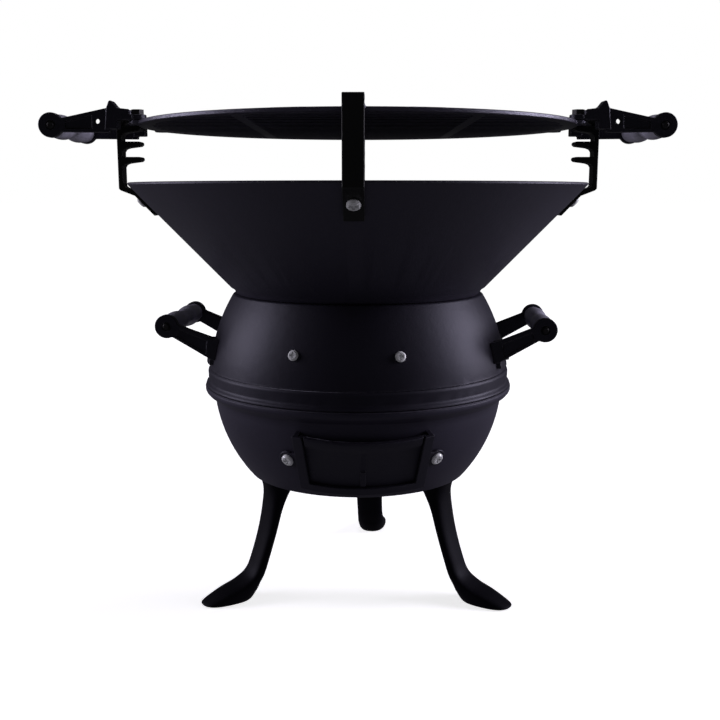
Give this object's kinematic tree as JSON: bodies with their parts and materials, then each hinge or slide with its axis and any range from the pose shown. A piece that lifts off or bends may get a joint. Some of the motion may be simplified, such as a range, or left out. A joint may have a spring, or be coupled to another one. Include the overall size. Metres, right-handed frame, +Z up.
{
  "type": "charcoal barbecue",
  "caption": "Round cast-iron charcoal barbecue: ash bowl on legs, belly with carry handles, conical fire bowl and a notched height-setting cooking grate with wooden grips.",
  "frame": {"origin": "on the ground plane, under the centre of the bowls", "axes": "+Z up along the bowls' axis, -Y towards the front with the air vent, +X to the right-hand grate handle"},
  "size_m": [0.4644, 0.3709, 0.378],
  "materials": {
    "painted_casting": "matt heat-resistant graphite paint on cast iron",
    "painted_belly": "matt heat-resistant graphite paint on cast iron",
    "painted_fire_bowl": "matt heat-resistant graphite paint on cast iron",
    "leg_paint": "matt black heat-resistant paint on cast iron",
    "vent_paint": "matt black paint",
    "bracket_paint": "black paint on flat castings",
    "handle_casting": "black paint on rough castings",
    "stained_wood": "turned wood, stained black",
    "raw_grate_iron": "rough cast iron, oiled",
    "zinc": "bright zinc plating",
    "black_steel": "blackened steel fasteners",
    "strap_steel": "painted strip steel"
  },
  "bodies": {
    "base": {"lower_bowl": "painted_casting", "leg_front_left": "leg_paint", "leg_front_right": "leg_paint", "leg_back": "leg_paint", "leg_bolts": "black_steel", "vent_frame": "vent_paint", "vent_screws": "zinc", "vent_nuts": "zinc"},
    "vent_door": {"vent_door": "vent_paint"},
    "belly": {"upper_belly": "painted_belly", "locating_straps": "strap_steel", "strap_screws": "zinc", "strap_nuts": "zinc", "belly_arm_left_front": "handle_casting", "belly_arm_left_back": "handle_casting", "belly_arm_right_front": "handle_casting", "belly_arm_right_back": "handle_casting", "belly_arm_bolts": "black_steel", "belly_arm_nuts": "zinc", "belly_grip_rod_left": "black_steel", "belly_grip_rod_right": "black_steel", "grip_rod_nuts_belly": "black_steel"},
    "belly_grip_left": {"belly_grip_left": "stained_wood"},
    "belly_grip_right": {"belly_grip_right": "stained_wood"},
    "fire_bowl": {"fire_bowl": "painted_fire_bowl", "bracket_front": "bracket_paint", "bracket_right": "bracket_paint", "bracket_back": "bracket_paint", "bracket_left": "bracket_paint", "bracket_screws": "zinc", "bracket_nuts": "zinc"},
    "coal_grate": {"coal_grate": "raw_grate_iron"},
    "cooking_grate": {"cooking_grate": "raw_grate_iron", "grate_arm_left_front": "handle_casting", "grate_arm_left_back": "handle_casting", "grate_arm_right_front": "handle_casting", "grate_arm_right_back": "handle_casting", "grate_handle_bolts": "black_steel", "grate_grip_rod_left": "black_steel", "grate_grip_rod_right": "black_steel", "grip_rod_nuts_grate": "black_steel"},
    "grate_grip_left": {"grate_grip_left": "stained_wood"},
    "grate_grip_right": {"grate_grip_right": "stained_wood"}
  },
  "joints": [
    {"name": "vent_door_slide", "type": "slide", "parent": "base", "child": "vent_door", "axis": [0.0138, -0.3961, 0.9181], "range_m": [0, 0.011]},
    {"name": "belly_lift_off", "type": "slide", "parent": "base", "child": "belly", "axis": [0, 0, 1], "range_m": [0, 0.12]},
    {"name": "fire_bowl_lift_off", "type": "slide", "parent": "belly", "child": "fire_bowl", "axis": [0, 0, 1], "range_m": [0, 0.1]},
    {"name": "coal_grate_lift_out", "type": "slide", "parent": "fire_bowl", "child": "coal_grate", "axis": [0, 0, 1], "range_m": [0, 0.09]},
    {"name": "cooking_grate_turn", "type": "hinge", "parent": "fire_bowl", "child": "cooking_grate", "pos_m": [0, 0, 0.3649], "axis": [0, 0, 1], "range_deg": [-8, 8]},
    {"name": "belly_grip_left_spin", "type": "hinge", "parent": "belly", "child": "belly_grip_left", "pos_m": [-0.14262, 0.01047, 0.212], "axis": [0.0732, 0.9973, 0], "continuous": true},
    {"name": "belly_grip_right_spin", "type": "hinge", "parent": "belly", "child": "belly_grip_right", "pos_m": [0.14262, -0.01047, 0.212], "axis": [0.0732, 0.9973, 0], "continuous": true},
    {"name": "grate_grip_left_spin", "type": "hinge", "parent": "cooking_grate", "child": "grate_grip_left", "pos_m": [-0.223, 0, 0.361], "axis": [0, 1, 0], "continuous": true},
    {"name": "grate_grip_right_spin", "type": "hinge", "parent": "cooking_grate", "child": "grate_grip_right", "pos_m": [0.223, 0, 0.361], "axis": [0, 1, 0], "continuous": true}
  ]
}
